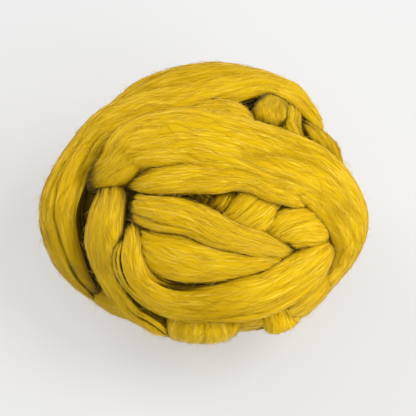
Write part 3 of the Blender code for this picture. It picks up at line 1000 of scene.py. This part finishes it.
# Stray fibres lie along the laps and stand off them.
strays = {
    "laid": {
        "count": 14500,
        "shortest": 4 * mm,
        "longest": 15 * mm,
        "thickness": 0.14 * mm,
        "paler": 0.0,
    },
    "loose": {
        "count": 9000,
        "shortest": 1.5 * mm,
        "longest": 6 * mm,
        "thickness": 0.10 * mm,
        "paler": 0.25,
    },
    "points": 4,  # of each fibre
    "sides": 3,
    "seed": 11,
    "shades": 64,
    "darkest": 0.28,
    "drift": 0.22,  # how far a laid fibre strays sideways, as a share of its length
    "curl": 0.03,
    "hump": 0.30 * mm,
    "swing": 0.45,  # how far a loose fibre turns from the combing, in radians
    "rise": 0.33,  # how steeply it leaves the surface
    "bend": 0.25,
    "cover": 25.0 * mm,  # a place with another lap this close over it gets none
    "lowest": 2.0 * mm,  # and none start below this
}
# Tones of stray fibres. The darkest stops are painted shade, for fibres that the laps shut in.
strayColours = [(0.0, (0.12, 0.065, 0.001)), (0.22, (0.42, 0.25, 0.002)), (0.55, (0.70, 0.45, 0.008)),
                (1.0, (0.88, 0.67, 0.09))]


def strayTree(material):
    # sweeps a thin section along every polyline, with a bake map of one column a shade
    maker, size = openTree("strayFibres", {"Thickness": 0.1 * mm, "Sides": strays["sides"], "Shades": 64.0})

    def stored(shape, name, value, kind="FLOAT", domain="POINT"):
        inputs = {"Geometry": shape, "Name": name, "Value": value}
        return maker.add("GeometryNodeStoreNamedAttribute", {"data_type": kind, "domain": domain}, inputs)

    def named(name):
        return maker.add("GeometryNodeInputNamedAttribute", {"data_type": "FLOAT"}, {"Name": name})

    factor = maker.add("GeometryNodeSplineParameter")
    line = stored(maker.add("GeometryNodeMeshToCurve", None, {"Mesh": size["Geometry"]}), "alongFibre", factor)
    circle = {"Resolution": size["Sides"], "Radius": size["Thickness"] * 0.5}
    ring = stored(maker.add("GeometryNodeCurvePrimitiveCircle", None, circle), "aroundFibre", factor)
    taper = 1.05 - abs(factor * 2.0 - 1.0) ** 3.0
    swept = maker.add("GeometryNodeCurveToMesh", None, {"Curve": line, "Profile Curve": ring, "Scale": taper})
    u = (named("shade") * size["Shades"] + 0.2 + named("aroundFibre") * 0.6) / size["Shades"]
    place = maker.add("ShaderNodeCombineXYZ", None, {"X": u, "Y": named("alongFibre")})
    swept = stored(swept, "OFBake", place, "FLOAT2", "CORNER")
    swept = maker.add("GeometryNodeSetShadeSmooth", None, {"Geometry": swept})
    return closeTree(maker, swept, material)


def strayWool():
    material, maker, shader = newMaterial("strayWool", woolLook["strayRoughness"])
    shade = maker.add("ShaderNodeAttribute", {"attribute_name": "shade"}, output="Fac")
    colour = maker.add("ShaderNodeValToRGB", {"stops": strayColours}, {"Fac": shade})
    material.node_tree.links.new(colour.socket, shader.inputs["Base Color"])
    return material


def onSurface(surface, along, around):
    # points and outward directions of a lap's surface at places counted in its grid's steps
    grid = surface["grid"]
    stations, girthCount = grid.shape[:2]
    i, j = np.floor(along).astype(int), np.floor(around).astype(int)
    u, v = (along - i)[..., None], (around - j)[..., None]
    i0, i1, j0, j1 = i % stations, (i + 1) % stations, j % girthCount, (j + 1) % girthCount
    first = grid[i0, j0] * (1 - u) + grid[i1, j0] * u
    second = grid[i0, j1] * (1 - u) + grid[i1, j1] * u
    found = first * (1 - v) + second * v
    return found[..., :3], found[..., 3:]


def openPlaces(rng, count, cover):
    # random places on the laps' crowns that no other lap lies over: lap name, along, around
    names = list(surfaces)
    crowns = [(surface["grid"].shape[0], surface["crown"]) for surface in surfaces.values()]
    cells = np.array([stations * (last - first) for stations, (first, last) in crowns])
    found = {name: [] for name in names}
    made = 0
    while made < count:
        name = names[rng.choice(len(names), p=cells / cells.sum())]
        surface = surfaces[name]
        along = rng.uniform(0, surface["grid"].shape[0])
        around = rng.uniform(*surface["crown"])
        point, normal = onSurface(surface, np.array(along), np.array(around))
        outward = Vector(point - ball["middle"]).normalized()
        if point[2] < strays["lowest"]:
            continue
        if cover.ray_cast(Vector(point) + outward * 0.4 * mm, outward, strays["cover"])[0] is None:
            found[name].append((along, around))
            made += 1
    return {name: np.array(places) for name, places in found.items() if places}


def laidFibres(rng, kind, cover):
    lines, shadeAmount = [], []
    t = np.linspace(0, 1, strays["points"])[None, :]
    for name, places in openPlaces(rng, kind["count"], cover).items():
        surface = surfaces[name]
        many = (len(places), 1)
        length = rng.uniform(kind["shortest"], kind["longest"], many)
        side = rng.normal(0, strays["drift"], many) * length
        curl = rng.normal(0, strays["curl"], many) * length * np.sin(t * math.pi * rng.uniform(1, 2.5, many))
        along = places[:, :1] + (t - 0.5) * length / usualLap["alongStep"]
        around = places[:, 1:] + ((t - 0.5) * side + curl) / usualLap["acrossStep"]
        point, normal = onSurface(surface, along, around)
        lift = np.abs(rng.normal(0, 1, many)) * strays["hump"] * np.sin(t * math.pi) + 0.02 * mm
        lines.append(point + normal * lift[..., None])
        shadeAmount.append(surface["crowding"][places[:, 0].astype(int), places[:, 1].astype(int)])
    return np.concatenate(lines), np.concatenate(shadeAmount)


def looseFibres(rng, kind, cover):
    lines, shadeAmount = [], []
    t = np.linspace(0, 1, strays["points"])[None, :, None]
    for name, places in openPlaces(rng, kind["count"], cover).items():
        surface = surfaces[name]
        many = (len(places), 1, 1)
        point, normal = onSurface(surface, places[:, 0], places[:, 1])
        ahead = onSurface(surface, places[:, 0] + 1, places[:, 1])[0] - point
        ahead /= np.linalg.norm(ahead, axis=-1, keepdims=True)
        beside = np.cross(normal, ahead)
        point, normal, ahead, beside = (part[:, None, :] for part in (point, normal, ahead, beside))
        length = rng.uniform(kind["shortest"], kind["longest"], many)
        swing = rng.normal(0, strays["swing"], many) + (rng.random(many) < 0.5) * math.pi
        direction = ahead * np.cos(swing) + beside * np.sin(swing)
        rise = np.abs(rng.normal(0, strays["rise"], many))
        bend = rng.normal(0, strays["bend"], many) * beside - rng.uniform(0, strays["bend"], many) * normal
        lines.append(point + length * (direction * t + normal * rise * t + bend * t**2))
        shadeAmount.append(surface["crowding"][places[:, 0].astype(int), places[:, 1].astype(int)])
    return np.concatenate(lines), np.concatenate(shadeAmount)


def fibrePiece(name, lines, shadeAmount, kind, tree, rng):
    # one piece of many fibres, each of one tone, with painted shade where the laps shut it in
    count, points = lines.shape[:2]
    lines[..., 2] = np.maximum(lines[..., 2], 0.1 * mm)  # none goes into the floor
    index = np.arange(count * points).reshape(count, points)
    edges = np.stack([index[:, :-1], index[:, 1:]], axis=-1).reshape(-1, 2)
    mesh = bpy.data.meshes.new(name)
    mesh.from_pydata(lines.reshape(-1, 3), edges, [])
    darkest = strays["darkest"] + kind["paler"]
    # random tone, with painted shade where the laps shut the fibre in
    shade = (darkest + (1 - darkest) * rng.beta(1.1, 1.5, count)) * (1 - np.clip(3.2 * shadeAmount - 0.5, 0, 1))
    shade = np.floor(shade * (strays["shades"] - 1)) / strays["shades"]
    mesh.attributes.new("shade", "FLOAT", "POINT").data.foreach_set("value", np.repeat(shade, points))
    return applyTree(mesh, name, tree, {"Thickness": kind["thickness"], "Shades": float(strays["shades"])})


rng = np.random.default_rng(strays["seed"])
fibres = strayTree(strayWool())
for name, makeLines in (("laid", laidFibres), ("loose", looseFibres)):
    lines, shadeAmount = makeLines(rng, strays[name], cover)
    half = (len(lines) + 1) // 2  # two pieces, to keep each one light
    for part, some in enumerate((slice(0, half), slice(half, None))):
        pieces.append(fibrePiece(f"{name}Fibres{part + 1}", lines[some], shadeAmount[some], strays[name], fibres, rng))
        print(pieces[-1].name, len(pieces[-1].data.polygons) * 2, "triangles")

studio = {
    "floorSide": 4.0,
    "floorColour": (0.36, 0.36, 0.36, 1.0),
    "floorGlow": 0.395,  # softens the shadow, as a lit table does
    "skyColour": (1.0, 1.0, 1.0, 1.0),
    "skyStrength": 0.62,
    "lampDistance": 1.35,
    "lampSize": 0.9,
    "lamps": [  # degrees round from the right, degrees up, watts
        ("right", 0, 50, 10.4),
        ("frontRight", -45, 30, 6.6),
        ("backLeft", 135, 25, 8.8),
    ],
    "distance": 0.70,
    "lens": 131.7,
    "shift": (5.5 / 416, -5.0 / 416),  # a share of the picture, which has the ball's middle that far off its own
}

reach = studio["floorSide"] / 2
floorMesh = bpy.data.meshes.new("floor")
floorCorners = [(-reach, -reach, 0), (reach, -reach, 0), (reach, reach, 0), (-reach, reach, 0)]
floorMesh.from_pydata(floorCorners, [], [(0, 1, 2, 3)])
floor = bpy.data.objects.new("floor", floorMesh)
bpy.context.scene.collection.objects.link(floor)
paper = bpy.data.materials.new("palePaper")
paper.use_nodes = True
paperShader = paper.node_tree.nodes["Principled BSDF"]
paperShader.inputs["Base Color"].default_value = studio["floorColour"]
paperShader.inputs["Roughness"].default_value = 0.9
paperShader.inputs["Specular IOR Level"].default_value = 0.1
paperShader.inputs["Emission Color"].default_value = (1.0, 1.0, 1.0, 1.0)
paperShader.inputs["Emission Strength"].default_value = studio["floorGlow"]
floorMesh.materials.append(paper)
floor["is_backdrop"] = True

world = bpy.data.worlds.new("softSky")
bpy.context.scene.world = world
world.use_nodes = True
sky = next(node for node in world.node_tree.nodes if node.type == "BACKGROUND")
sky.inputs["Color"].default_value = studio["skyColour"]
sky.inputs["Strength"].default_value = studio["skyStrength"]

for name, azimuth, elevation, power in studio["lamps"]:
    lampData = bpy.data.lights.new(name + "Lamp", "AREA")
    lampData.shape = "DISK"
    lampData.size = studio["lampSize"]
    lampData.energy = power
    lamp = bpy.data.objects.new(name + "Lamp", lampData)
    level = math.cos(math.radians(elevation))
    azimuth = math.radians(azimuth)
    away = Vector((level * math.cos(azimuth), level * math.sin(azimuth), math.sin(math.radians(elevation))))
    lamp.location = away * studio["lampDistance"]
    lamp.rotation_euler = (-away).to_track_quat("-Z", "Y").to_euler()
    bpy.context.scene.collection.objects.link(lamp)

cameraData = bpy.data.cameras.new("camera")
cameraData.lens = studio["lens"]
cameraData.sensor_width = 36.0
cameraData.shift_x, cameraData.shift_y = studio["shift"]
cameraData.clip_start = 0.01
camera = bpy.data.objects.new("camera", cameraData)
camera.location = Vector(ball["middle"] + seenNear * studio["distance"])
camera.rotation_euler = (math.pi / 2 - ball["seenFrom"], 0.0, 0.0)
bpy.context.scene.collection.objects.link(camera)
bpy.context.scene.camera = camera
bpy.context.scene.view_settings.view_transform = "Standard"
print("studio set up")

# Each piece rides on the ball and stands for its solid.
for piece in pieces:
    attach(piece, "root")
    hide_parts("wound_roving")

sizes = {"cad": [list(corner) for corner in packedBox], "visual": [list(corner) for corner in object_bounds()]}
